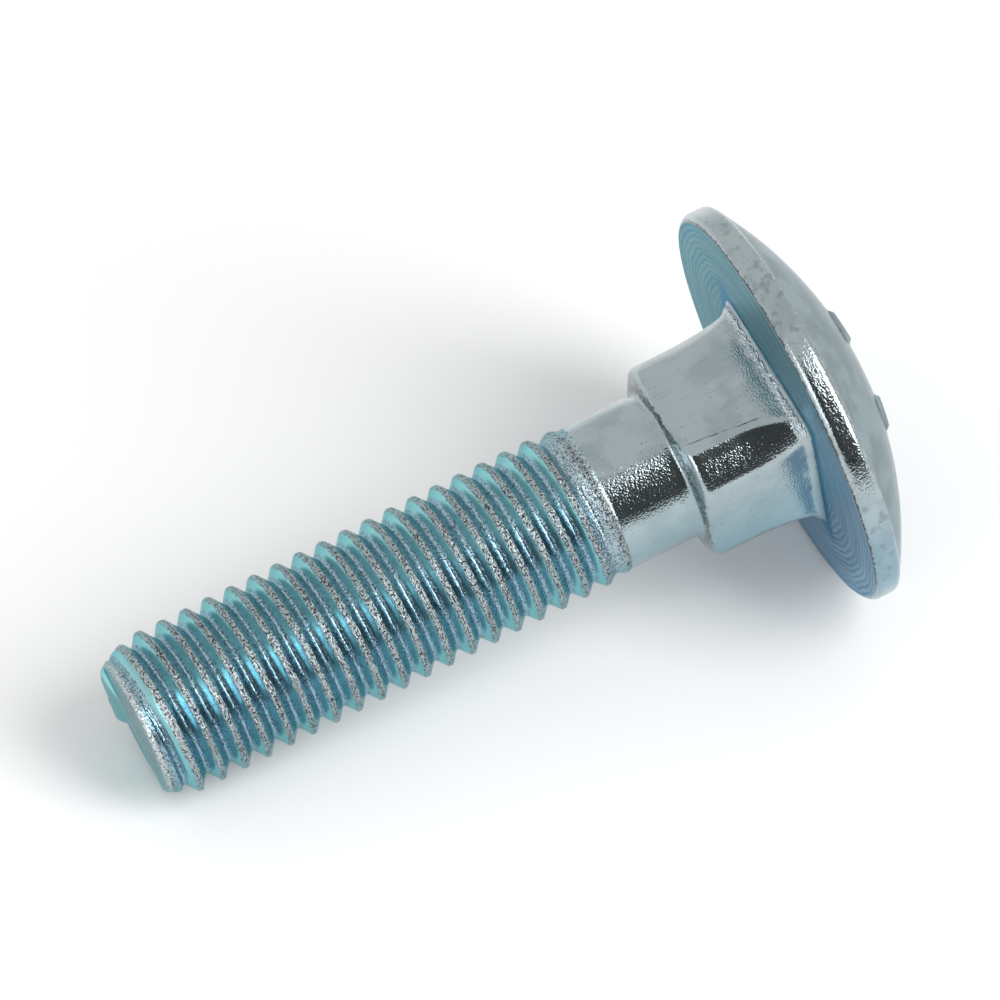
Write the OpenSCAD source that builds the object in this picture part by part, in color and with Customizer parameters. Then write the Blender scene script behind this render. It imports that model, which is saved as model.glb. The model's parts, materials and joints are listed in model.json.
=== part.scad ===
// Carriage bolt: a low round head, a square neck, a short plain shank and a rolled right-hand
// thread, all one piece of steel. It lies as it comes to rest, on its head rim and a thread crest.

/* [Length] */
// Length from the underside of the head to the thread end
bolt_l = 49.3; // [44:0.1:150]
// Length of the thread, with its run-out
thread_l = 35.3; // [20:0.1:35.5]

/* [Head] */
// Diameter of the head
head_d = 29.5; // [26:0.1:34]
// Height of the head above its underside
head_h = 6.3; // [4:0.1:9]
// Height of the rim band
rim_h = 2.0; // [1:0.1:3]
// How far the rim band bulges
rim_bulge = 0.44; // [0.1:0.02:0.8]
// Height of the plain raised marks on the dome
mark_h = 0.3; // [0.1:0.05:0.6]
// Length of a raised mark
mark_l = 2.8; // [1.5:0.1:4]
// Width of a raised mark
mark_w = 1.5; // [0.8:0.1:2]
// Distance of the marks from the head's middle
mark_r = 5.3; // [3:0.1:8]
// Directions of the marks about the bolt's axis
mark_turns = [174, 250];

/* [Square neck] */
// Width of the square neck across its flats
neck_w = 12.25; // [11:0.05:13]
// Length of the square neck
neck_l = 8.3; // [6:0.1:8.7]
// Distance of the neck's worn corners from the axis
neck_corner_r = 7.25; // [6.6:0.05:7.6]
// Rounding of the neck's corners at the shank end
neck_round = 0.9; // [0.3:0.1:1.2]
// How far the corners flare out at the head
flare_out = 1.25; // [0.3:0.05:1.4]
// Length of the flare below the head
flare_l = 5.0; // [2:0.1:5]

/* [Shank] */
// Diameter of the plain shank
shank_d = 10.76; // [10:0.02:11.2]

/* [Thread] */
// Diameter over the thread's crests near its end
thread_d = 11.72; // [11.3:0.02:12]
// Diameter at the bottom of the thread's grooves near its end
root_d = 9.86; // [9.4:0.02:10.2]
// Distance from one crest to the next
pitch = 1.75; // [1.25:0.05:2]
// Width of the flat on a crest
crest_w = 0.32; // [0.1:0.02:0.4]
// Width of the bottom of a groove
root_w = 0.36; // [0.1:0.02:0.4]
// How much crests and grooves lose of their height towards the shank
thread_fade = 0.13; // [0:0.01:0.2]
// Length over which the thread dies out at the shank
runout_l = 2.6; // [1:0.1:5]
// Diameter of the end face
end_d = 9.9; // [9:0.05:10.4]
// Length of the lead at the end
lead_l = 2.0; // [0.5:0.1:3]
// Where the crest line starts, as a turn about the axis
thread_turn = 114.3; // [0:0.1:359.9]

/* [Rest] */
// Turn of the bolt about its own axis, as it lies
roll_turn = 6.5; // [0:0.1:89.9]

/* [Hidden] */
$fn = 96;

// Sides of the net that the thread is drawn on, the turns laid out past its ends before they
// are trimmed, and how close a row may come to an end
thread_sides = 32;
spare_turns = 2;
row_gap = 0.05;
// Lines along one pitch of the thread: both edges of the crest, both edges of the groove
row_places = [
    -crest_w / 2, crest_w / 2, pitch / 2 - root_w / 2, pitch / 2 + root_w / 2
];
rows_a_pitch = len(row_places);
end_z = -bolt_l;
thread_top_z = thread_l - bolt_l;
// The thread's net ends just inside the shank's edge
seam_r = shank_d / 2 - 0.02;

// Arc of the rim band, and the radius at which it meets the dome and the underside
rim_round = (pow(rim_h / 2, 2) + pow(rim_bulge, 2)) / (2 * rim_bulge);
rim_arc_r = head_d / 2 - rim_round;
rim_edge_r = head_d / 2 - rim_bulge;
// Sphere of the dome, through the rim's edge and the top
dome_h = head_h - rim_h;
dome_r = (pow(rim_edge_r, 2) + pow(dome_h, 2)) / (2 * dome_h);
dome_z = head_h - dome_r;
// Arc of the neck's flare
flare_round = (pow(flare_l, 2) + pow(flare_out, 2)) / (2 * flare_out);
// How far the neck reaches up into the head
neck_sink = rim_h / 2;

// The crest that carries the thread end: the first full one on the line straight below the axis
lowest_turn = (thread_turn - roll_turn) / 360;
contact_z = end_z - crest_w / 2 + pitch * (lowest_turn + ceil(lead_l / pitch - lowest_turn));
// Tilt of the axis when the rim's arc and that crest touch the same floor
contact_run = rim_h / 2 - contact_z;
contact_rise = rim_arc_r - thread_d / 2;
tilt = atan2(contact_rise, contact_run)
    + asin(rim_round / norm([contact_run, contact_rise]));
// Reach of the tilted bolt along the floor, and its lowest point
far_x = dome_z * cos(tilt) + dome_r;
near_x = end_z * cos(tilt) - end_d / 2 * sin(tilt);
low_z = rim_h / 2 * sin(tilt) - rim_arc_r * cos(tilt) - rim_round;

// Height of a row of the thread's net at one of its sides
function row_z(side, row) =
    end_z + row_places[row % rows_a_pitch]
    + pitch * (floor(row / rows_a_pitch) - spare_turns + side / thread_sides + thread_turn / 360);

// Radius of the full thread at a height: crest rows are the first two of a pitch
function full_r(z, row) =
    let (fade = thread_fade * (z - end_z) / thread_l)
    row % rows_a_pitch < 2 ? thread_d / 2 - fade : root_d / 2 + fade;

// Radius with the lead at the end and the run-out at the shank taken into account
function thread_r(z, row) =
    let (
        lead = end_d / 2 + (thread_d - end_d) / 2 * (z - end_z) / lead_l,
        kept = min(1, (thread_top_z - z) / runout_l)
    )
    seam_r + (min(full_r(z, row), lead) - seam_r) * kept;

function ring_point(side, r, z) =
    [r * cos(360 * side / thread_sides), r * sin(360 * side / thread_sides), z];

// Rows that lie between the end face and the shank, listed for each side
last_row = rows_a_pitch * (ceil(thread_l / pitch) + 2 * spare_turns);
side_rows = [
    for (side = [0 : thread_sides - 1]) [
        for (row = [0 : last_row])
            if (row_z(side, row) > end_z + row_gap && row_z(side, row) < thread_top_z - row_gap)
                row
    ]
];
// Each side's points: one on the end face, one for each row, one at the shank
side_points = [
    for (side = [0 : thread_sides - 1]) concat(
        [ring_point(side, end_d / 2, end_z)],
        [
            for (row = side_rows[side])
                ring_point(side, thread_r(row_z(side, row), row), row_z(side, row))
        ],
        [ring_point(side, seam_r, thread_top_z)]
    )
];
side_starts = [
    for (side = 0, start = 0; side < thread_sides;
         start = start + len(side_points[side]), side = side + 1) start
];

// The side after the last one is the first one, a whole pitch further along
function on_last(side) = side == thread_sides;
function first_of(side) = on_last(side) ? first_of(0) - rows_a_pitch : side_rows[side][0];
function last_of(side) = first_of(side) + len(side_rows[side % thread_sides]) - 1;
function end_at(side) = side_starts[side % thread_sides];
function top_at(side) = end_at(side) + len(side_points[side % thread_sides]) - 1;
function point_at(side, row) = end_at(side) + 1 + row - first_of(side);

// Triangles between one side and the next: the end, the rows that both have, the top
function strip(a) =
    let (b = a + 1, low = first_of(a), high = last_of(b))
    concat(
        [[end_at(a), point_at(a, low), point_at(b, low)]],
        [
            for (row = [first_of(b) : 1 : low - 1])
                [end_at(a), point_at(b, row + 1), point_at(b, row)]
        ],
        [[end_at(a), point_at(b, first_of(b)), end_at(b)]],
        [
            for (row = [low : high - 1])
                [point_at(a, row), point_at(a, row + 1), point_at(b, row + 1)]
        ],
        [
            for (row = [low : high - 1])
                [point_at(a, row), point_at(b, row + 1), point_at(b, row)]
        ],
        [[point_at(a, high), top_at(b), point_at(b, high)]],
        [
            for (row = [high : 1 : last_of(a) - 1])
                [point_at(a, row), point_at(a, row + 1), top_at(b)]
        ],
        [[point_at(a, last_of(a)), top_at(a), top_at(b)]]
    );

module thread() {
    polyhedron(
        points = [for (points = side_points) each points],
        faces = concat(
            [[for (side = [0 : thread_sides - 1]) end_at(side)]],
            [[for (side = [thread_sides - 1 : -1 : 0]) top_at(side)]],
            [for (side = [0 : thread_sides - 1]) each strip(side)]
        )
    );
}

module shank() {
    translate([0, 0, thread_top_z])
        cylinder(h = -thread_top_z, d = shank_d);
}

// Half section that rounds the square's corners, with the flare under the head
module corner_section() {
    translate([0, -neck_l])
        square([neck_corner_r - neck_round, neck_l + neck_sink]);
    translate([0, neck_round - neck_l])
        square([neck_corner_r, neck_l - neck_round + neck_sink]);
    translate([neck_corner_r - neck_round, neck_round - neck_l])
        circle(r = neck_round);
    difference() {
        translate([0, -flare_l])
            square([neck_corner_r + flare_out, flare_l + neck_sink]);
        translate([neck_corner_r + flare_round, -flare_l])
            circle(r = flare_round);
    }
}

module neck() {
    intersection() {
        translate([-neck_w / 2, -neck_w / 2, -neck_l])
            cube([neck_w, neck_w, neck_l + neck_sink]);
        rotate_extrude()
            corner_section();
    }
}

module head() {
    rotate_extrude() {
        intersection() {
            translate([rim_arc_r, rim_h / 2])
                circle(r = rim_round);
            square([head_d, rim_h]);
        }
        intersection() {
            translate([0, dome_z])
                circle(r = dome_r);
            square([rim_edge_r, head_h]);
        }
    }
}

// A plain raised bar with round ends, which follows the dome
module mark(turn) {
    intersection() {
        translate([0, 0, dome_z])
            sphere(r = dome_r + mark_h);
        rotate([0, 0, turn])
            translate([mark_r, 0, rim_h])
                linear_extrude(head_h) {
                    square([mark_w, mark_l - mark_w], center = true);
                    for (side = [-1, 1])
                        translate([0, side * (mark_l - mark_w) / 2])
                            circle(d = mark_w);
                }
    }
}

// The whole bolt, with its axis upright and the underside of the head at height zero
module upright_bolt() {
    head();
    for (turn = mark_turns)
        mark(turn);
    neck();
    shank();
    thread();
}

module bolt() {
    color([0.72, 0.75, 0.80])
        translate([-(far_x + near_x) / 2, 0, -low_z])
            rotate([0, 90 - tilt, 0])
                rotate([0, 0, roll_turn])
                    upright_bolt();
}

bolt();
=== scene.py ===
"""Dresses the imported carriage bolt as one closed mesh: rolled thread, square neck, low round head
and worn zinc plating. It is modelled upright, with its underside at height zero, then laid down."""

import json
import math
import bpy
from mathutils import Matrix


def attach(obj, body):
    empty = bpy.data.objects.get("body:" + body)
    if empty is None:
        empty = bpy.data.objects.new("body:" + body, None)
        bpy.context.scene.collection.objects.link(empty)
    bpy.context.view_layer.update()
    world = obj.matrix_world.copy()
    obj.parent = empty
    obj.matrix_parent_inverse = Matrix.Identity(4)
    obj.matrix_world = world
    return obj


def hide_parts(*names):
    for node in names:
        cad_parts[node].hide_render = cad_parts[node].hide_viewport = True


bl_info = {
    "name": "Carriage Bolt",
    "version": (1, 0, 0),
    "blender": (4, 5, 0),
    "location": "View3D > Sidebar > Bolt",
    "description": "Builds a zinc-plated carriage bolt round its packed solid",
    "category": "Add Mesh",
}

import bpy
from bpy.props import FloatProperty, FloatVectorProperty, IntProperty, PointerProperty
from mathutils import Euler, Matrix, Vector, noise

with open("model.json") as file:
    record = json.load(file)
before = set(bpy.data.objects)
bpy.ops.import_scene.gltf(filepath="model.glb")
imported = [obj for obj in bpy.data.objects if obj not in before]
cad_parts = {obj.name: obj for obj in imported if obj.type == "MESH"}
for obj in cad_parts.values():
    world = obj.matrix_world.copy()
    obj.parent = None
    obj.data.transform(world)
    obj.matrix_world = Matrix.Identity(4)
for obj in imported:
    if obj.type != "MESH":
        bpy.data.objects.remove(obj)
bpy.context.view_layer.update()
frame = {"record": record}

MM = 0.001
# Points nearer to each other than this lie in the same place
TOUCH = 1e-7

# Where the solid's head sits and which way its axis rises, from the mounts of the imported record
mounts = {mount["name"]: mount for mount in frame["record"]["mounts"]}
underside = mounts["head_underside"]
seat = Vector((underside["pos_m"][0], 0, underside["pos_m"][2]))
axis_up = -Vector(underside["axis"])
tilt = math.asin(axis_up.z)


# Sizes and colours


def length(name, description, millimetres):
    return FloatProperty(
        name=name, description=description, default=millimetres * MM, unit="LENGTH", precision=5
    )


def colour(name, description, value):
    return FloatVectorProperty(
        name=name, description=description, default=value, size=3, subtype="COLOR", min=0, max=1
    )


class BoltSizes(bpy.types.PropertyGroup):
    """Sizes of the bolt. They are the solid's, but the neck's length runs to where its worn
    shoulder starts, a little past the solid's"""

    bolt_length: length("Length", "From the underside of the head to the thread end", 49.3)
    thread_length: length("Thread length", "Thread with its run-out", 35.3)
    pitch: length("Pitch", "From one crest to the next", 1.75)
    thread_diameter: length("Thread diameter", "Over the crests near the end", 11.72)
    root_diameter: length("Root diameter", "At the bottom of the grooves near the end", 9.86)
    thread_fade: length("Thread fade", "Height that crests and grooves lose", 0.13)
    runout: length("Run-out", "Length over which the thread dies out at the shank", 2.6)
    end_diameter: length("End diameter", "Across the end face", 9.9)
    lead: length("Lead", "Length over which the first turns grow", 2.0)
    shank_diameter: length("Shank diameter", "Across the plain shank", 10.76)
    neck_width: length("Neck width", "Across the flats of the square neck", 12.25)
    neck_length: length("Neck length", "From the head to where the worn shoulder starts", 8.5)
    corner_radius: length("Corner radius", "From the axis to the neck's worn corners", 7.25)
    head_diameter: length("Head diameter", "Over the rim", 29.5)
    head_height: length("Head height", "Above the underside", 6.3)
    rim_height: length("Rim height", "Height of the rim band", 2.0)
    rim_bulge: length("Rim bulge", "How far the rim band bulges", 0.44)
    mark_height: length("Mark height", "Of the two plain raised bars on the dome", 0.3)
    mark_length: length("Mark length", "Along a raised bar", 2.8)
    mark_width: length("Mark width", "Across a raised bar", 1.5)
    mark_distance: length("Mark distance", "From the head's middle to a bar", 5.3)
    crest_turn: FloatProperty(
        name="Crest turn", description="Where the crest line starts", default=math.radians(114.3),
        unit="ROTATION",
    )
    roll: FloatProperty(
        name="Roll", description="Turn about the bolt's own axis", default=math.radians(6.5),
        unit="ROTATION",
    )
    sides: IntProperty(name="Sides", description="Steps round the axis", default=168, min=48)


class BoltFinish(bpy.types.PropertyGroup):
    """Colours of the zinc plating"""

    zinc: colour("Zinc", "Plain plated faces", (0.42, 0.49, 0.51))
    zinc_dull: colour("Dull zinc", "Patches in the plain faces", (0.35, 0.42, 0.44))
    # Blue zinc is painted shade for the side of the bolt that lies down
    zinc_blue_shade: colour("Blue zinc", "Plain faces on the bluer side", (0.23, 0.38, 0.44))
    rubbed: colour("Rubbed", "Rubbed places of the rim", (0.17, 0.18, 0.18))
    dome: colour("Dome", "Dome of the head", (0.27, 0.32, 0.33))
    # Pale colour of the rings under the head, and a painted highlight on the seam at the neck's
    # foot
    bead_and_highlight: colour("Bead", "At the neck's foot, and in the rings under the head", (0.60, 0.67, 0.70))
    crest: colour("Crests", "Rubbed grey thread crests", (0.56, 0.62, 0.635))
    flank: colour("Flanks", "Blue-green flanks towards the end", (0.30, 0.61, 0.63))
    groove: colour("Grooves", "Grey-blue grooves and flanks towards the head", (0.36, 0.52, 0.60))
    # Edge tints under the head: green is painted shade on the upper side, pale is painted light on
    # the lower side, and blue is a painted reflection next to the neck that also tints the wide
    # rings
    sheen_blue: colour("Blue sheen", "Beside the neck, seen low", (0.36, 0.62, 0.80))
    shaded_sheen_green: colour("Green sheen", "Upper side under the head, seen low", (0.33, 0.46, 0.48))
    lit_sheen_pale: colour("Pale sheen", "Lower side under the head, seen low", (0.70, 0.90, 1.0))
    scale: colour("Scale", "Dark specks and lines, and the scratch", (0.05, 0.055, 0.06))
    # Deep blue is painted shade next to the neck and on the low sides of rim and thread; it also
    # colours the wide rings under the head
    deep_blue_and_shade: colour("Deep blue", "Beside the neck, on rim and thread", (0.14, 0.31, 0.44))
    # Ring colours under the head: green on the upper side and grey-blue on the lower side are
    # painted light and shade
    ring_green: colour("Green rings", "Upper side under the head", (0.37, 0.60, 0.62))
    ring_grey: colour("Grey-blue rings", "Lower side under the head", (0.32, 0.43, 0.56))


# Drawing and shaping


def deselect_all():
    if bpy.context.object and bpy.context.object.mode != "OBJECT":
        bpy.ops.object.mode_set(mode="OBJECT")
    bpy.ops.object.select_all(action="DESELECT")


def pick_points(piece, test):
    """Selects the points of a piece that pass a test, and goes on in edit mode"""
    bpy.ops.object.mode_set(mode="EDIT")
    bpy.ops.mesh.select_mode(type="VERT")
    bpy.ops.mesh.select_all(action="DESELECT")
    bpy.ops.object.mode_set(mode="OBJECT")
    for point in piece.data.vertices:
        point.select = test(point.co)
    bpy.ops.object.mode_set(mode="EDIT")


def draw_outline(name, points):
    """Draws a chain of edges over +X, through points given as radius and height"""
    deselect_all()
    bpy.ops.mesh.primitive_circle_add(vertices=3, radius=MM)
    chain = bpy.context.object
    chain.name = name
    bpy.ops.object.mode_set(mode="EDIT")
    bpy.ops.mesh.select_all(action="SELECT")
    bpy.ops.mesh.merge(type="CENTER")
    here = (0, 0)
    for step, there in enumerate(points):
        move = (there[0] - here[0], 0, there[1] - here[1])
        if step == 0:
            bpy.ops.transform.translate(value=move)
        else:
            bpy.ops.mesh.extrude_region_move(TRANSFORM_OT_translate={"value": move})
        here = there
    bpy.ops.object.mode_set(mode="OBJECT")
    return chain


def turn_outline(chain, sides, rise=0.0, turns=1):
    """Turns an outline about the axis, rising as it goes"""
    screw = chain.modifiers.new("turning", "SCREW")
    screw.axis = "Z"
    screw.angle = 2 * math.pi
    screw.screw_offset = rise
    screw.iterations = turns
    screw.steps = sides
    screw.render_steps = sides
    bpy.ops.object.modifier_apply(modifier=screw.name)
    bpy.ops.object.mode_set(mode="EDIT")
    bpy.ops.mesh.select_all(action="SELECT")
    bpy.ops.mesh.remove_doubles(threshold=0.001 * MM)
    bpy.ops.object.mode_set(mode="OBJECT")


def cut_off(piece, height, above):
    """Cuts away all that lies above or below a height"""
    bpy.ops.object.mode_set(mode="EDIT")
    bpy.ops.mesh.select_all(action="SELECT")
    bpy.ops.mesh.bisect(
        plane_co=(0, 0, height), plane_no=(0, 0, 1), threshold=TOUCH,
        clear_outer=above, clear_inner=not above,
    )
    bpy.ops.object.mode_set(mode="OBJECT")


def mix(a, b, share):
    return a + (b - a) * share


def ease(low, high, value):
    """Zero below low, one above high, smooth between"""
    share = min(1, max(0, (value - low) / (high - low)))
    return share * share * (3 - 2 * share)


def soft_min(a, b, soft):
    share = max(soft - abs(a - b), 0) / soft
    return min(a, b) - share * share * soft / 4


def rough(place, grain, seed):
    """Smooth noise between -1 and 1, with features about as large as the grain"""
    return noise.noise(Vector(place) / grain + Vector((seed, seed * 2.3, seed * 4.1)))


def polar(co):
    return math.hypot(co.x, co.y), math.atan2(co.y, co.x)


# The thread


def pitch_outline(size):
    """One pitch of a rolled thread from groove to groove: a rounded crest with the fine seam
    that thread rolling leaves, straight flanks and a rounded groove"""
    crest = size.thread_diameter / 2
    root = size.root_diameter / 2
    half = size.pitch / 2
    side = [
        (0.000, crest - 0.030 * MM),
        (0.050, crest - 0.008 * MM),
        (0.095, crest),
        (0.145, crest - 0.016 * MM),
        (0.215, crest - 0.075 * MM),
        (0.425, crest - 0.34 * MM),
        (0.635, root + 0.322 * MM),
        (0.845, root + 0.055 * MM),
        (0.925, root + 0.012 * MM),
        (1.000, root),
    ]
    rising = [(radius, -share * half) for share, radius in reversed(side)]
    return rising + [(radius, share * half) for share, radius in side[1:]]


def crest_share(size, co):
    """Where a point lies across the thread: 0 on the crest line, -1 and 1 in the grooves"""
    turn = (math.atan2(co.y, co.x) + size.crest_turn) / (2 * math.pi)
    place = (co.z + size.bolt_length) / size.pitch - turn
    return 2 * ((place + 0.5) % 1 - 0.5)


def thread_top(size):
    return size.thread_length - size.bolt_length


def thread_radius(size, radius, height):
    """Radius of a point of the full thread once the lead, the fade and the run-out are on it"""
    crest = size.thread_diameter / 2
    root = size.root_diameter / 2
    from_end = height + size.bolt_length
    fade = size.thread_fade * from_end / size.thread_length
    share = (radius - root) / (crest - root)
    faded = mix(root + fade, crest - fade, share)
    lead = mix(size.end_diameter / 2, crest, from_end / size.lead)
    led = soft_min(faded, lead, 0.12 * MM)
    left = max(0, thread_top(size) - height)
    kept = min(1, left / size.runout)
    shank = size.shank_diameter / 2
    return soft_min(mix(shank, led, kept ** 0.6), shank + 0.42 * left, 0.06 * MM)


def wear_thread(size, co):
    """Small dents and torn places, mostly along the crests"""
    radius, turn = polar(co)
    on_crest = 1 - ease(0.15, 0.35, abs(crest_share(size, co)))
    along = (co.x, co.y, co.z * 0.4)
    torn = rough(along, 0.45 * MM, 3) * 0.022 * MM + rough(co, 1.6 * MM, 5) * 0.02 * MM
    move = 1 + (torn * on_crest + rough(co, 0.9 * MM, 7) * 0.006 * MM) / radius
    return Vector((co.x * move, co.y * move, co.z + rough(co, 0.8 * MM, 9) * 0.012 * MM * on_crest))


# Turns laid out past the thread's ends before it is trimmed, the heights of its last ring and its
# end face over the nominal end, and the strip left open to the shank
SPARE_TURNS = 2
END_RING = 0.12 * MM
END_FACE = -0.22 * MM
SEAM = 0.05 * MM
# The end face: rings inside its worn edge, the side where it is sunk, and the middle of its lip
# and where the lip starts and stops to fall away, in degrees
FACE_RINGS = 13
SUNK_SIDE = math.radians(30)
LIP_TURN = 74
LIP_SPAN = (29, 35)


class BOLT_OT_thread(bpy.types.Operator):
    """Roll the thread: one pitch is drawn, turned up the axis, trimmed and worn"""

    bl_idname = "bolt.thread"
    bl_label = "Thread"

    def execute(self, context):
        size = context.scene.bolt_sizes
        start = size.pitch * (size.crest_turn / (2 * math.pi) - SPARE_TURNS) - size.bolt_length
        turns = math.ceil(size.thread_length / size.pitch) + 2 * SPARE_TURNS
        outline = [(radius, height + start) for radius, height in pitch_outline(size)]
        thread = draw_outline("thread", outline)
        turn_outline(thread, size.sides, rise=size.pitch, turns=turns)
        end = -size.bolt_length + END_RING
        top = thread_top(size) - SEAM
        cut_off(thread, end, above=False)
        cut_off(thread, top, above=True)
        for point in thread.data.vertices:
            radius, turn = polar(point.co)
            reached = thread_radius(size, radius, point.co.z)
            shaped = Vector((reached * math.cos(turn), reached * math.sin(turn), point.co.z))
            edge = min(point.co.z - end, top - point.co.z)
            worn = wear_thread(size, shaped)
            point.co = shaped.lerp(worn, ease(0, 0.3 * MM, edge))
        self.close_end(thread, size, end)
        return {"FINISHED"}

    def close_end(self, thread, size, end):
        """Closes the thread's end with a face that has worn edges, a sunken side and a lip"""
        pick_points(thread, lambda co: abs(co.z - end) < TOUCH)
        middle = {"center_override": (0, 0, 0)}
        face = -size.bolt_length + END_FACE
        rings = [(0.988, face + 0.18 * MM), (0.962, face + 0.07 * MM), (0.925, face)]
        rings += [(ring / (FACE_RINGS + 2), face) for ring in range(FACE_RINGS, 0, -1)]
        scale, height = 1, end
        for share, level in rings:
            bpy.ops.mesh.extrude_region_move(
                TRANSFORM_OT_translate={"value": (0, 0, level - height)}
            )
            bpy.ops.transform.resize(value=(share / scale, share / scale, 1), **middle)
            scale, height = share, level
        bpy.ops.mesh.merge(type="CENTER")
        bpy.ops.object.mode_set(mode="OBJECT")
        sunk_side = Vector((math.cos(SUNK_SIDE), math.sin(SUNK_SIDE)))
        for point in thread.data.vertices:
            if point.co.z < end - TOUCH:
                radius, turn = polar(point.co)
                lip = 1 - ease(*LIP_SPAN, abs(math.degrees(turn) - LIP_TURN))
                sunk = ease(0.5 * MM, 4.8 * MM, sunk_side.dot(point.co.xy)) * (1 - lip)
                sunk -= 0.62 * lip * ease(1.5 * MM, 4.2 * MM, radius)
                torn = rough(point.co, 0.5 * MM, 11) * 0.05 * MM * ease(3.8 * MM, 4.6 * MM, radius)
                wavy = rough(point.co, 1.6 * MM, 12) * 0.03 * MM
                level = point.co.z + 0.42 * MM * sunk + torn + wavy
                point.co.z = min(level, end - 0.02 * MM)


# The blank: shank, square neck and head


# Height and length of the arc that the neck's corners flare out along, and how near to its steep
# end they come
FLARE = 1.25 * MM
FLARE_LENGTH = 5.0 * MM
FLARE_ROUND = 0.96
# The corner that is worn rounder than the others
WORN_CORNER = 135


def neck_corner(size, height):
    """Distance of the neck's corners from the axis at a height"""
    along = min(1, max(0, height / FLARE_LENGTH + 1))
    flare = FLARE * (1 - math.sqrt(1 - along ** 2 * FLARE_ROUND))
    return size.corner_radius + flare


def square_radius(size, turn, corner):
    """Radius of the square neck's outline in a direction. One corner is worn rounder"""
    off_flat = (turn + math.pi / 4) % (math.pi / 2) - math.pi / 4
    worn = 1 - ease(20, 42, abs(math.degrees(turn) % 360 - WORN_CORNER))
    flat = size.neck_width / 2 / math.cos(off_flat)
    return soft_min(flat, corner - 0.22 * MM * worn, mix(0.10, 0.75, worn) * MM)


def dome_height(size, radius):
    """Height of the dome's sphere over the underside"""
    edge = size.head_diameter / 2 - size.rim_bulge
    rise = size.head_height - size.rim_height
    ball = (edge ** 2 + rise ** 2) / (2 * rise)
    return size.head_height - ball + math.sqrt(ball ** 2 - radius ** 2)


def blank_outline(size):
    """Half outline of the blank from the thread to the head's middle, before it is squared"""
    shank = size.shank_diameter / 2
    corner = size.corner_radius
    neck = -size.neck_length
    bottom = thread_top(size) + SEAM
    plain = neck - 0.30 * MM
    points = [(shank, mix(bottom, plain, step / 10)) for step in range(11)]
    points += [
        (shank + 0.03 * MM, neck - 0.18 * MM),
        (shank + 0.10 * MM, neck - 0.08 * MM),
        (shank + 0.22 * MM, neck),
        (shank + 0.42 * MM, neck + 0.06 * MM),
        (shank + 0.62 * MM, neck + 0.11 * MM),
        (shank + 0.80 * MM, neck + 0.17 * MM),
        (corner - 0.76 * MM, neck + 0.24 * MM),
        (corner - 0.50 * MM, neck + 0.31 * MM),
        (corner - 0.28 * MM, neck + 0.40 * MM),
        (corner - 0.11 * MM, neck + 0.53 * MM),
        (corner - 0.02 * MM, neck + 0.70 * MM),
        (corner, neck + 0.95 * MM),
    ]
    first = neck + 1.25 * MM
    last = -0.62 * MM
    count = 26
    for step in range(count + 1):
        height = mix(first, last, step / count)
        points.append((neck_corner(size, height), height))
    return points


# Steps over the rim band, rings on the dome, and the height at which the band bulges most
RIM_STEPS = 22
DOME_RINGS = 60
BULGE_HEIGHT = 0.75 * MM


def rim_outline(size):
    """Outline of the rim band and the dome, from the underside's edge to the middle"""
    edge = size.head_diameter / 2 - size.rim_bulge
    widest = size.head_diameter / 2
    points = []
    for step in range(1, RIM_STEPS):
        height = size.rim_height * (1 - math.cos(math.pi * step / RIM_STEPS)) / 2
        if height < BULGE_HEIGHT:
            drawn_in = (1 - height / BULGE_HEIGHT) ** 3
        else:
            drawn_in = ((height - BULGE_HEIGHT) / (size.rim_height - BULGE_HEIGHT)) ** 8
        points.append((widest - size.rim_bulge * drawn_in, height))
    for ring in range(DOME_RINGS):
        radius = edge * (1 - ring / DOME_RINGS)
        points.append((radius, dome_height(size, radius)))
    points.append((0, size.head_height))
    return points


UNDERSIDE_RINGS = 34
FILLET_RINGS = 7
FILLET = 0.5 * MM


def head_outline(size):
    """Outline of the fillet at the neck's foot and the flat underside, at stand-in radii that
    squared spreads between the square and the round edge"""
    corner = neck_corner(size, 0)
    edge = size.head_diameter / 2 - size.rim_bulge
    points = []
    for ring in range(1, FILLET_RINGS + 1):
        turn = math.pi / 2 * ring / FILLET_RINGS
        points.append((corner + FILLET * (1 - math.cos(turn)), FILLET * (math.sin(turn) - 1)))
    foot = corner + FILLET
    for ring in range(1, UNDERSIDE_RINGS + 1):
        points.append((mix(foot, edge, ring / UNDERSIDE_RINGS), 0))
    return points


def squared(size, co):
    """Place of a point of the round blank once the neck is pressed square"""
    radius, turn = polar(co)
    neck = -size.neck_length
    edge = size.head_diameter / 2 - size.rim_bulge
    if co.z < neck - 0.3 * MM or co.z > TOUCH or radius < TOUCH:
        return co
    foot_corner = neck_corner(size, 0)
    if co.z < -FILLET - TOUCH:
        reached = square_radius(size, turn, radius)
    elif radius <= foot_corner + FILLET + TOUCH:
        reached = square_radius(size, turn, foot_corner) + radius - foot_corner
    else:
        share = (radius - foot_corner - FILLET) / (edge - foot_corner - FILLET)
        reached = mix(square_radius(size, turn, foot_corner) + FILLET, edge, share)
    return Vector((reached * math.cos(turn), reached * math.sin(turn), co.z))


MARK_TURNS = (math.radians(174), math.radians(250))


def raised(size, co):
    """Height of the plain bars over the dome at a point"""
    height = 0
    for mark_turn in MARK_TURNS:
        local = Matrix.Rotation(-mark_turn, 2) @ Vector((co.x, co.y))
        along = max(0, abs(local.y) - (size.mark_length - size.mark_width) / 2)
        away = math.hypot(local.x - size.mark_distance, along) - size.mark_width / 2
        height = max(height, size.mark_height * (1 - ease(-0.22 * MM, 0.10 * MM, away)))
    return height


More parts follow.
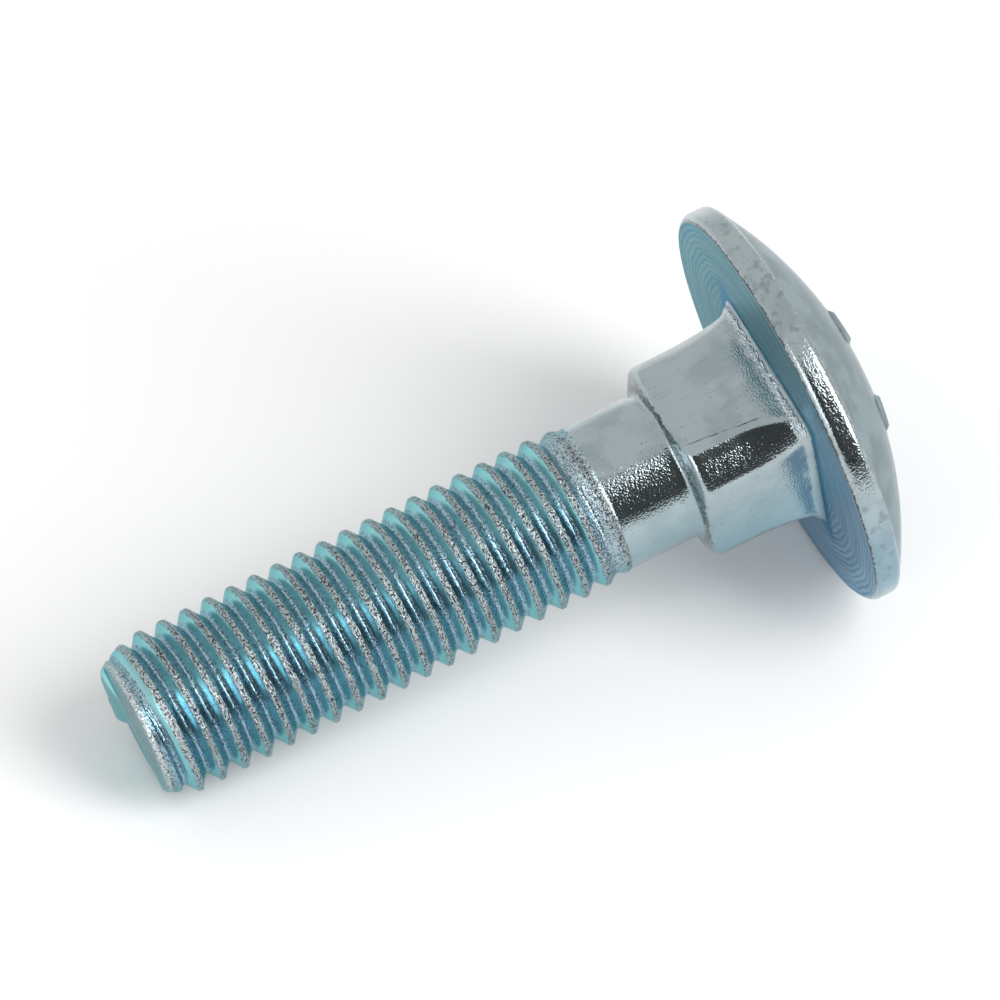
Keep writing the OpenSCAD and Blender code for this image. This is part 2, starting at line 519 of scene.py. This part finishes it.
def wear_blank(size, co):
    """Slight waves of the forging, rougher at the rim's edges and the neck's foot"""
    radius, turn = polar(co)
    if radius < TOUCH:
        return co
    out = Vector((co.x, co.y, 0)) / radius
    waves = rough(co, 3.0 * MM, 13) * 0.020 * MM + rough(co, 0.9 * MM, 15) * 0.005 * MM
    foot = math.exp(-((co.z + 0.35 * MM) / (0.4 * MM)) ** 2) * (radius < 9.5 * MM)
    beads = foot * (0.03 * MM + rough(co, 0.5 * MM, 17) * 0.05 * MM)
    if co.z > size.rim_height * 0.95:
        return co + Vector((0, 0, waves * 0.5))
    return co + out * (waves + beads)


class BOLT_OT_blank(bpy.types.Operator):
    """Forge the blank: a turned outline with its neck pressed square and bars raised on its dome"""

    bl_idname = "bolt.blank"
    bl_label = "Shank, neck and head"

    def execute(self, context):
        size = context.scene.bolt_sizes
        outline = blank_outline(size) + head_outline(size) + rim_outline(size)
        blank = draw_outline("blank", outline)
        turn_outline(blank, size.sides)
        bottom = thread_top(size) + SEAM
        for point in blank.data.vertices:
            pressed = squared(size, point.co)
            if pressed.z > size.rim_height:
                pressed = pressed + Vector((0, 0, raised(size, pressed)))
            worn = wear_blank(size, pressed)
            point.co = pressed.lerp(worn, ease(0, 0.5 * MM, pressed.z - bottom))
        return {"FINISHED"}


# One bolt, in place


def laid_down(size):
    """Turns and moves the upright bolt to where the solid lies"""
    return (
        Matrix.Translation(seat)
        @ Matrix.Rotation(math.pi / 2 - tilt, 4, "Y")
        @ Matrix.Rotation(size.roll, 4, "Z")
    )


def zone_of(size, middle):
    """Which finish a face takes, by its middle in the upright bolt"""
    radius = math.hypot(middle.x, middle.y)
    if middle.z < -size.bolt_length + 0.10 * MM:
        return "end"
    if middle.z < thread_top(size):
        return "thread"
    if middle.z < -size.neck_length + 0.02 * MM:
        return "shank"
    if middle.z < -0.02 * MM:
        return "neck"
    if middle.z < 0.02 * MM:
        return "underside"
    return "rim" if middle.z < size.rim_height else "dome"


class BOLT_OT_join(bpy.types.Operator):
    """Join the thread and the blank into one closed bolt, give it its finishes and lay it down"""

    bl_idname = "bolt.join"
    bl_label = "One bolt"

    def execute(self, context):
        size = context.scene.bolt_sizes
        thread = bpy.data.objects["thread"]
        blank = bpy.data.objects["blank"]
        deselect_all()
        blank.select_set(True)
        thread.select_set(True)
        context.view_layer.objects.active = blank
        bpy.ops.object.join()
        bolt = blank
        bolt.name = "carriage_bolt"
        bolt.data.name = "carriage_bolt"
        self.close(bolt)
        self.note_thread(bolt, size)
        finishes = zinc_finishes(context.scene.bolt_finish, size)
        names = list(finishes)
        bolt.data.materials.clear()
        for name in names:
            bolt.data.materials.append(finishes[name])
        for face in bolt.data.polygons:
            face.material_index = names.index(zone_of(size, face.center))
        bolt.matrix_world = laid_down(size)
        bpy.ops.object.transform_apply(location=True, rotation=True, scale=True)
        bpy.ops.object.shade_smooth_by_angle(angle=math.radians(50))
        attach(bolt, "root")
        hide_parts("bolt")
        return {"FINISHED"}

    def close(self, bolt):
        """Bridges the two open loops and turns all faces outwards"""
        bpy.ops.object.mode_set(mode="EDIT")
        bpy.ops.mesh.select_mode(type="VERT")
        bpy.ops.mesh.select_all(action="DESELECT")
        bpy.ops.mesh.select_non_manifold(
            extend=False, use_wire=False, use_boundary=True, use_multi_face=False,
            use_non_contiguous=False, use_verts=False,
        )
        bpy.ops.mesh.bridge_edge_loops()
        bpy.ops.mesh.select_all(action="SELECT")
        bpy.ops.mesh.normals_make_consistent(inside=False)
        bpy.ops.mesh.select_all(action="DESELECT")
        bpy.ops.mesh.select_non_manifold()
        bpy.ops.object.mode_set(mode="OBJECT")
        open_points = sum(point.select for point in bolt.data.vertices)
        if open_points:
            raise RuntimeError(f"the bolt isn't closed at {open_points} points")

    def note_thread(self, bolt, size):
        """Notes how far each point is across the thread and on which side, for its finish"""
        across = bolt.data.attributes.new("across_thread", "FLOAT", "POINT")
        head_side = bolt.data.attributes.new("head_side", "FLOAT", "POINT")
        for point in bolt.data.vertices:
            share = crest_share(size, point.co)
            across.data[point.index].value = abs(share)
            head_side.data[point.index].value = math.sin(math.pi * share)


# Finishes


class Nodes:
    """Short words for the shader nodes of one material"""

    def __init__(self, name):
        self.material = bpy.data.materials.new(name)
        self.material.use_nodes = True
        self.tree = self.material.node_tree
        self.shader = self.tree.nodes["Principled BSDF"]

    def new(self, kind, **settings):
        made = self.tree.nodes.new("ShaderNode" + kind)
        for key, value in settings.items():
            setattr(made, key, value)
        return made

    def feed(self, socket, value):
        if isinstance(value, bpy.types.NodeSocket):
            self.tree.links.new(value, socket)
        elif hasattr(value, "__len__"):
            socket.default_value = tuple(value) + (1,) * (len(socket.default_value) - len(value))
        else:
            socket.default_value = value

    def bolt_place(self, size):
        """Object coordinates turned back into the upright bolt's frame"""
        back = laid_down(size).inverted()
        place = self.new("TexCoord").outputs["Object"]
        mapping = self.new("Mapping", vector_type="POINT")
        mapping.inputs["Location"].default_value = back.to_translation()
        mapping.inputs["Rotation"].default_value = back.to_euler("XYZ")
        self.feed(mapping.inputs["Vector"], place)
        return mapping.outputs["Vector"]

    def stretched(self, place, scale):
        mapping = self.new("Mapping", vector_type="POINT")
        mapping.inputs["Scale"].default_value = scale
        self.feed(mapping.inputs["Vector"], place)
        return mapping.outputs["Vector"]

    def grain(self, place, size, detail=2.0, roughness=0.5):
        made = self.new("TexNoise")
        made.inputs["Scale"].default_value = 1 / size
        made.inputs["Detail"].default_value = detail
        made.inputs["Roughness"].default_value = roughness
        self.feed(made.inputs["Vector"], place)
        return made.outputs["Fac"]

    def spread(self, value, low, high, to_low=0.0, to_high=1.0):
        made = self.new("MapRange", interpolation_type="SMOOTHSTEP")
        for socket, given in zip(made.inputs, (value, low, high, to_low, to_high)):
            self.feed(socket, given)
        return made.outputs["Result"]

    def combine(self, first, second, operation="ADD"):
        made = self.new("Math", operation=operation)
        self.feed(made.inputs[0], first)
        self.feed(made.inputs[1], second)
        return made.outputs["Value"]

    def blend(self, share, first, second):
        """Mixes two colours, whose sockets come after the node's number and vector sockets"""
        made = self.new("Mix", data_type="RGBA")
        self.feed(made.inputs["Factor"], share)
        self.feed(made.inputs[6], first)
        self.feed(made.inputs[7], second)
        return made.outputs[2]

    def along(self, place, direction):
        """How far a place lies along a direction of the upright bolt"""
        made = self.new("VectorMath", operation="DOT_PRODUCT")
        self.feed(made.inputs[0], place)
        made.inputs[1].default_value = direction
        return made.outputs["Value"]

    def near(self, value, line, full, none):
        """One within a distance of a line, falling to zero"""
        away = self.combine(self.combine(value, line, "SUBTRACT"), 0, "ABSOLUTE")
        return self.spread(away, full, none, 1, 0)

    def larger(self, first, second):
        return self.combine(first, second, "MAXIMUM")

    def waves(self, value, length):
        """Waves between -1 and 1 that repeat after a length"""
        return self.combine(self.both(value, 2 * math.pi / length), 0, "SINE")

    def both(self, *shares):
        result = shares[0]
        for share in shares[1:]:
            result = self.combine(result, share, "MULTIPLY")
        return result

    def radius(self, place):
        flat = self.new("VectorMath", operation="MULTIPLY")
        self.feed(flat.inputs[0], place)
        flat.inputs[1].default_value = (1, 1, 0)
        size = self.new("VectorMath", operation="LENGTH")
        self.feed(size.inputs[0], flat.outputs["Vector"])
        return size.outputs["Value"]

    def relief(self, height, depth, below=None):
        made = self.new("Bump")
        made.inputs["Strength"].default_value = 1
        made.inputs["Distance"].default_value = depth
        self.feed(made.inputs["Height"], height)
        if below is not None:
            self.feed(made.inputs["Normal"], below)
        return made.outputs["Normal"]

    def metal(self, base, roughness, normal, edge_tint=(1, 1, 1)):
        self.shader.inputs["Metallic"].default_value = 1
        self.feed(self.shader.inputs["Specular Tint"], edge_tint)
        self.feed(self.shader.inputs["Base Color"], base)
        self.feed(self.shader.inputs["Roughness"], roughness)
        self.feed(self.shader.inputs["Normal"], normal)
        return self.material


# Size of the plating's crystals, roughness of a plain plated face, and the directions that the
# neck's faces look in
CRYSTAL = 0.145 * MM
BRIGHT = 0.13
ACROSS = ((1, 0, 0), (0, 1, 0))
# Directions in the upright bolt: towards its head, down as it lies, the sunken side of the end
# face, the sides that the camera shows highest and lowest, and the lower front
HEADWARDS = (0, 0, 1)
DOWN = (1, 0, 0)
END_SUNK = (0.863, 0.505, 0)
HIGH_SIDE = (-0.505, 0.863, 0)
LOW_SIDE = (0.5, -0.866, 0)
LOWER_FRONT = (-0.469, -0.883, 0)
# Tints of the plating where it is seen low
THREAD_SHEEN = (0.48, 0.70, 0.74)
END_SHEEN = (0.55, 0.75, 0.78)
DOME_SHEEN = (0.62, 0.68, 0.70)


def plated(made, place, finish, zinc=None):
    """Plain zinc with dull patches, and painted shade that makes the side that lies down a darker
    blue
    """
    patches = made.spread(made.grain(place, 2.5 * MM, detail=4), 0.42, 0.62)
    base = made.blend(patches, zinc or finish.zinc, finish.zinc_dull)
    # Painted shade: a darker blue on the side that lies down
    bluer = made.spread(made.along(place, DOWN), -6 * MM, 5 * MM, 0, 0.85)
    base = made.blend(bluer, base, finish.zinc_blue_shade)
    specks = made.spread(made.grain(place, 0.24 * MM, detail=2), 0.68, 0.74, 0, 0.45)
    return made.blend(specks, base, finish.scale)


def off_planes(made, place):
    """Distances of a place from the two planes through the axis that are parallel to the neck's
    faces"""
    return [made.combine(made.along(place, way), 0, "ABSOLUTE") for way in ACROSS]


def crystals(made, place, depth, below=None):
    """Relief of the plating's fine crystals"""
    return made.relief(made.grain(place, CRYSTAL, detail=1), depth, below)


def plain_zinc(name, finish, size, depth, zinc=None, edge_tint=(1, 1, 1)):
    made = Nodes(name)
    place = made.bolt_place(size)
    base = plated(made, place, finish, zinc)
    return made.metal(base, BRIGHT, crystals(made, place, depth), edge_tint)


def rim_zinc(finish, size):
    """Coarser plated steel, with painted shade that makes its low side a darker blue, rubbed dark
    in places, with ragged dark lines along both edges"""
    made = Nodes("zinc on the rim")
    place = made.bolt_place(size)
    height = made.along(place, HEADWARDS)
    wander = made.spread(made.grain(place, 0.3 * MM), 0.3, 0.7, -0.05 * MM, 0.05 * MM)
    ragged = made.combine(height, wander)
    rubbed = made.spread(made.grain(place, 0.8 * MM, detail=4), 0.55, 0.65, 0, 0.40)
    # Painted shade: a darker blue towards the rim's low side
    lower = made.spread(made.along(place, LOW_SIDE), 6 * MM, 14 * MM, 0, 0.4)
    base = made.blend(lower, plated(made, place, finish), finish.deep_blue_and_shade)
    base = made.blend(rubbed, base, finish.rubbed)
    low_edge = made.near(ragged, 0.04 * MM, 0.04 * MM, 0.10 * MM)
    high_edge = made.near(ragged, size.rim_height - 0.06 * MM, 0.02 * MM, 0.09 * MM)
    base = made.blend(made.both(low_edge, 0.85), base, finish.scale)
    base = made.blend(made.both(high_edge, 0.60), base, finish.scale)
    return made.metal(base, BRIGHT, crystals(made, place, 0.024 * MM))


# The scratch on the neck's upper face: the direction across it, its place that way, and the
# height of its middle
SCRATCH_ACROSS = (0, 1, 0.1175)
SCRATCH_PLACE = -3.89 * MM
SCRATCH_MIDDLE = -5.0 * MM


def neck_zinc(finish, size):
    """Plated steel with drag marks along the neck, a dark line at its shoulder, a raised seam at
    its foot that is painted pale on the upper face as a painted highlight, and one scratch on the
    upper face"""
    made = Nodes("zinc on the neck")
    place = made.bolt_place(size)
    height = made.along(place, HEADWARDS)
    wander = made.spread(made.grain(place, 0.35 * MM), 0.3, 0.7, -0.1 * MM, 0.1 * MM)
    dragged = made.grain(made.stretched(place, (1, 1, 0.05)), 0.17 * MM, detail=2)
    base = made.blend(made.spread(dragged, 0.58, 0.75, 0, 0.22),
                      plated(made, place, finish), finish.scale)
    shoulder = made.near(made.combine(height, wander), 0.10 * MM - size.neck_length, 0.03 * MM,
                         0.12 * MM)
    base = made.blend(made.both(shoulder, 0.75), base, finish.scale)
    across = made.combine(made.along(place, SCRATCH_ACROSS), made.both(wander, 0.4))
    scratch = made.both(
        made.near(across, SCRATCH_PLACE, 0.02 * MM, 0.07 * MM),
        made.near(height, SCRATCH_MIDDLE, 2.2 * MM, 3.0 * MM),
        made.spread(made.along(place, DOWN), -6.0 * MM, -5.9 * MM, 1, 0),
        made.spread(dragged, 0.35, 0.50),
    )
    base = made.blend(made.both(scratch, 0.85), base, finish.scale)
    # Painted highlight: the seam at the foot is painted pale on the upper face only
    upper_face_highlight = made.spread(made.along(place, DOWN), -5.7 * MM, -5.3 * MM, 1, 0)
    foot = made.both(upper_face_highlight,
                     made.near(made.combine(height, wander), -0.45 * MM, 0.10 * MM, 0.26 * MM))
    base = made.blend(foot, base, finish.bead_and_highlight)
    from_planes = made.combine(*off_planes(made, place), "MINIMUM")
    corners = made.spread(from_planes, 4.2 * MM, 4.9 * MM, 0.3, 1)
    normal = made.relief(made.both(made.grain(place, CRYSTAL, detail=1), corners), 0.034 * MM)
    normal = made.relief(made.both(made.grain(place, 0.16 * MM), foot), 0.16 * MM, normal)
    normal = made.relief(dragged, 0.006 * MM, normal)
    return made.metal(base, BRIGHT, normal)


def underside_zinc(finish, size):
    """Plated steel with fine turned rings, and painted light and shade: blue-green on the upper
    side, grey-blue on the lower side, and deep blue painted shade next to the neck"""
    made = Nodes("zinc under the head")
    place = made.bolt_place(size)
    wander = made.spread(made.grain(place, 3.0 * MM), 0.2, 0.8, -0.2 * MM, 0.2 * MM)
    radius = made.combine(made.radius(place), wander)
    rings = made.waves(radius, 0.46 * MM)
    wide_rings = made.waves(radius, 1.9 * MM)
    # Painted light and shade: the upper side takes green colours, the lower side grey-blue and a
    # pale sheen
    upper = made.spread(made.along(place, HIGH_SIDE), -6 * MM, 6 * MM)
    base = made.blend(upper, finish.ring_grey, finish.ring_green)
    base = made.blend(made.spread(wide_rings, -1, 1, 0, 0.35), base, finish.deep_blue_and_shade)
    base = made.blend(made.spread(rings, -1, 1, 0.02, 0.45), base, finish.bead_and_highlight)
    # Painted shade and reflection: deep blue and a blue sheen next to the neck
    from_neck = made.larger(*off_planes(made, place))
    neck_shade = made.spread(from_neck, size.neck_width / 2 + 0.7 * MM, size.neck_width / 2 + 1.5 * MM,
                         0.85, 0)
    base = made.blend(neck_shade, base, finish.deep_blue_and_shade)
    sheen = made.blend(upper, finish.lit_sheen_pale, finish.shaded_sheen_green)
    sheen = made.blend(made.spread(wide_rings, -1, 1, 0, 0.20), sheen, finish.sheen_blue)
    sheen = made.blend(made.spread(rings, -1, 1, 0.30, 0), sheen, finish.deep_blue_and_shade)
    sheen = made.blend(neck_shade, sheen, finish.sheen_blue)
    normal = made.relief(rings, 0.006 * MM, crystals(made, place, 0.012 * MM))
    return made.metal(base, 0.32, normal, sheen)


def thread_zinc(finish, size):
    """Rubbed grey crests with torn lines along them, smooth blue-green flanks towards the end, and
    speckled grey-blue grooves and flanks towards the head, with painted shade that makes the lower
    front a darker blue"""
    made = Nodes("zinc on the thread")
    place = made.bolt_place(size)
    across = made.new("Attribute", attribute_name="across_thread").outputs["Fac"]
    head_side = made.new("Attribute", attribute_name="head_side").outputs["Fac"]
    fine = made.grain(place, 0.16 * MM, detail=1)
    wide = made.grain(place, 0.35 * MM, detail=3)
    ragged = made.combine(across, made.spread(wide, 0.3, 0.7, -0.06, 0.06))
    crest = made.spread(ragged, 0.24, 0.31, 1, 0)
    from_head = made.combine(head_side, made.spread(wide, 0.3, 0.7, -0.2, 0.2))
    groove = made.larger(made.spread(from_head, 0.25, 0.6), made.spread(ragged, 0.68, 0.78))
    run_out = made.spread(made.along(place, HEADWARDS), thread_top(size) - 2.1 * MM,
                          thread_top(size) - 1.5 * MM)
    groove = made.larger(groove, run_out)
    base = made.blend(groove, finish.flank, finish.groove)
    # Painted shade: a darker blue on the thread's lower front
    lower_front_shade = made.spread(made.along(place, LOWER_FRONT), 3.6 * MM, 5.2 * MM, 0, 0.38)
    base = made.blend(lower_front_shade, base, finish.deep_blue_and_shade)
    base = made.blend(made.larger(crest, made.both(run_out, 0.5)), base, finish.crest)
    coarse = made.larger(crest, made.both(groove, 0.8))
    specks = made.spread(made.grain(place, 0.15 * MM, detail=2), 0.50, 0.60, 0, 0.90)
    base = made.blend(made.both(specks, coarse), base, finish.scale)
    torn = made.waves(made.combine(across, made.both(wide, 0.22)), 0.12)
    bottom = made.spread(ragged, 0.74, 0.84, 0, 0.5)
    uneven = made.larger(made.larger(crest, bottom), run_out)
    normal = made.relief(made.both(fine, made.spread(uneven, 0, 1, 0.05, 1)), 0.075 * MM)
    normal = made.relief(made.both(torn, crest), 0.028 * MM, normal)
    return made.metal(base, made.spread(uneven, 0, 1, 0.25, 0.22), normal, THREAD_SHEEN)


def end_zinc(finish, size):
    """Smooth and blue-green where the end face is sunk, rubbed grey on its other side"""
    made = Nodes("zinc on the end")
    place = made.bolt_place(size)
    sunk = made.spread(made.along(place, END_SUNK), -1.2 * MM, 0.2 * MM)
    specks = made.spread(made.grain(place, 0.15 * MM, detail=2), 0.50, 0.62, 0, 0.70)
    base = made.blend(specks, finish.crest, finish.scale)
    base = made.blend(sunk, base, finish.flank)
    fine = made.both(made.grain(place, 0.16 * MM, detail=1), made.spread(sunk, 0, 1, 1, 0.2))
    return made.metal(base, 0.17, made.relief(fine, 0.07 * MM), END_SHEEN)


def zinc_finishes(finish, size):
    return {
        "thread": thread_zinc(finish, size),
        "shank": plain_zinc("zinc on the shank", finish, size, 0.023 * MM),
        "neck": neck_zinc(finish, size),
        "underside": underside_zinc(finish, size),
        "rim": rim_zinc(finish, size),
        "dome": plain_zinc("zinc on the dome", finish, size, 0.020 * MM, finish.dome, DOME_SHEEN),
        "end": end_zinc(finish, size),
    }


# Stage


CAMERA_AZIMUTH = math.radians(-25.698)
CAMERA_ELEVATION = math.radians(48.441)
CAMERA_DISTANCE = 1.0
CAMERA_LENS = 526.474
AIM = Vector((0, 0, 0.012))
AIM_RIGHT = 0.320 * MM
AIM_UP = 2.292 * MM

# The dark side of the room, as the plating shows it: below the camera and to its right
DARK_SIDE = Vector((-0.076, -0.908, 0.414))
DARK_SPAN = (math.radians(46), math.radians(41))
DARK_LEVEL = 0.08
TENT_LEVEL = 0.80
# Level of the tent for the light it gives, which has no dark side
LIGHT_LEVEL = 0.68
LAMP_DISTANCE = 0.8
# Direction, sides in metres and level of each lamp
LAMPS = {
    "right lamp": (Vector((0.443, -0.600, 0.660)), (0.38, 0.74), 5.5),
    "left lamp": (Vector((-0.87, -0.37, 0.33)), (0.45, 0.45), 1.9),
}


class BOLT_OT_stage(bpy.types.Operator):
    """Set the floor, a white tent that mirrors with one dark side, two lamps and the camera"""

    bl_idname = "bolt.stage"
    bl_label = "Stage"

    def execute(self, context):
        self.floor()
        self.tent(context.scene)
        for name, (direction, sides, level) in LAMPS.items():
            self.lamp(name, direction, sides, level)
        self.camera(context.scene)
        context.scene.view_settings.view_transform = "Standard"
        return {"FINISHED"}

    def floor(self):
        deselect_all()
        bpy.ops.mesh.primitive_plane_add(size=4)
        floor = bpy.context.object
        floor.name = "floor"
        paper = bpy.data.materials.new("white paper")
        paper.use_nodes = True
        shader = paper.node_tree.nodes["Principled BSDF"]
        shader.inputs["Base Color"].default_value = (0.93, 0.93, 0.93, 1)
        shader.inputs["Roughness"].default_value = 0.9
        shader.inputs["Specular IOR Level"].default_value = 0.1
        floor.data.materials.append(paper)

    def tent(self, scene):
        world = bpy.data.worlds.new("white tent")
        scene.world = world
        world.use_nodes = True
        nodes = world.node_tree.nodes
        links = world.node_tree.links
        background = nodes["Background"]
        background.inputs["Color"].default_value = (1, 1, 1, 1)
        toward = nodes.new("ShaderNodeVectorMath")
        toward.operation = "DOT_PRODUCT"
        toward.inputs[1].default_value = DARK_SIDE.normalized()
        links.new(nodes.new("ShaderNodeTexCoord").outputs["Generated"], toward.inputs[0])
        shade = nodes.new("ShaderNodeMapRange")
        shade.interpolation_type = "SMOOTHSTEP"
        shade.inputs["From Min"].default_value = math.cos(DARK_SPAN[0])
        shade.inputs["From Max"].default_value = math.cos(DARK_SPAN[1])
        shade.inputs["To Min"].default_value = TENT_LEVEL
        shade.inputs["To Max"].default_value = DARK_LEVEL
        links.new(toward.outputs["Value"], shade.inputs["Value"])
        seen = nodes.new("ShaderNodeMix")
        path = nodes.new("ShaderNodeLightPath")
        links.new(path.outputs["Is Glossy Ray"], seen.inputs["Factor"])
        seen.inputs["A"].default_value = LIGHT_LEVEL
        links.new(shade.outputs["Result"], seen.inputs["B"])
        links.new(seen.outputs["Result"], background.inputs["Strength"])

    def lamp(self, name, direction, sides, level):
        """A lamp that a mirror would show at a level, where white paper is 1"""
        deselect_all()
        bpy.ops.object.light_add(type="AREA", location=AIM + direction.normalized() * LAMP_DISTANCE)
        lamp = bpy.context.object
        lamp.name = name
        lamp.rotation_euler = direction.to_track_quat("Z", "Y").to_euler()
        lamp.data.shape = "RECTANGLE"
        lamp.data.size, lamp.data.size_y = sides
        lamp.data.energy = level * math.pi * sides[0] * sides[1]

    def camera(self, scene):
        swing = Euler((math.pi / 2 - CAMERA_ELEVATION, 0, CAMERA_AZIMUTH)).to_matrix()
        aim = AIM + swing @ Vector((AIM_RIGHT, AIM_UP, 0))
        bpy.ops.object.camera_add(location=aim + swing @ Vector((0, 0, CAMERA_DISTANCE)))
        camera = bpy.context.object
        camera.rotation_euler = swing.to_euler()
        camera.data.sensor_width = 36
        camera.data.lens = CAMERA_LENS
        camera.data.clip_start = 0.01
        scene.camera = camera


class BOLT_PT_panel(bpy.types.Panel):
    """Steps and sizes of the bolt"""

    bl_idname = "BOLT_PT_panel"
    bl_label = "Carriage bolt"
    bl_space_type = "VIEW_3D"
    bl_region_type = "UI"
    bl_category = "Bolt"

    def draw(self, context):
        for step in STEPS:
            self.layout.operator(step.bl_idname)
        for group in (context.scene.bolt_sizes, context.scene.bolt_finish):
            for name in group.bl_rna.properties.keys():
                if name not in ("rna_type", "name"):
                    self.layout.prop(group, name)


STEPS = (BOLT_OT_thread, BOLT_OT_blank, BOLT_OT_join, BOLT_OT_stage)
CLASSES = (BoltSizes, BoltFinish) + STEPS + (BOLT_PT_panel,)


def register():
    for cls in CLASSES:
        bpy.utils.register_class(cls)
    bpy.types.Scene.bolt_sizes = PointerProperty(type=BoltSizes)
    bpy.types.Scene.bolt_finish = PointerProperty(type=BoltFinish)


def unregister():
    del bpy.types.Scene.bolt_sizes
    del bpy.types.Scene.bolt_finish
    for cls in reversed(CLASSES):
        bpy.utils.unregister_class(cls)


def main():
    register()
    bpy.ops.bolt.thread()
    bpy.ops.bolt.blank()
    bpy.ops.bolt.join()
    bpy.ops.bolt.stage()


if __name__ == "__main__":
    main()
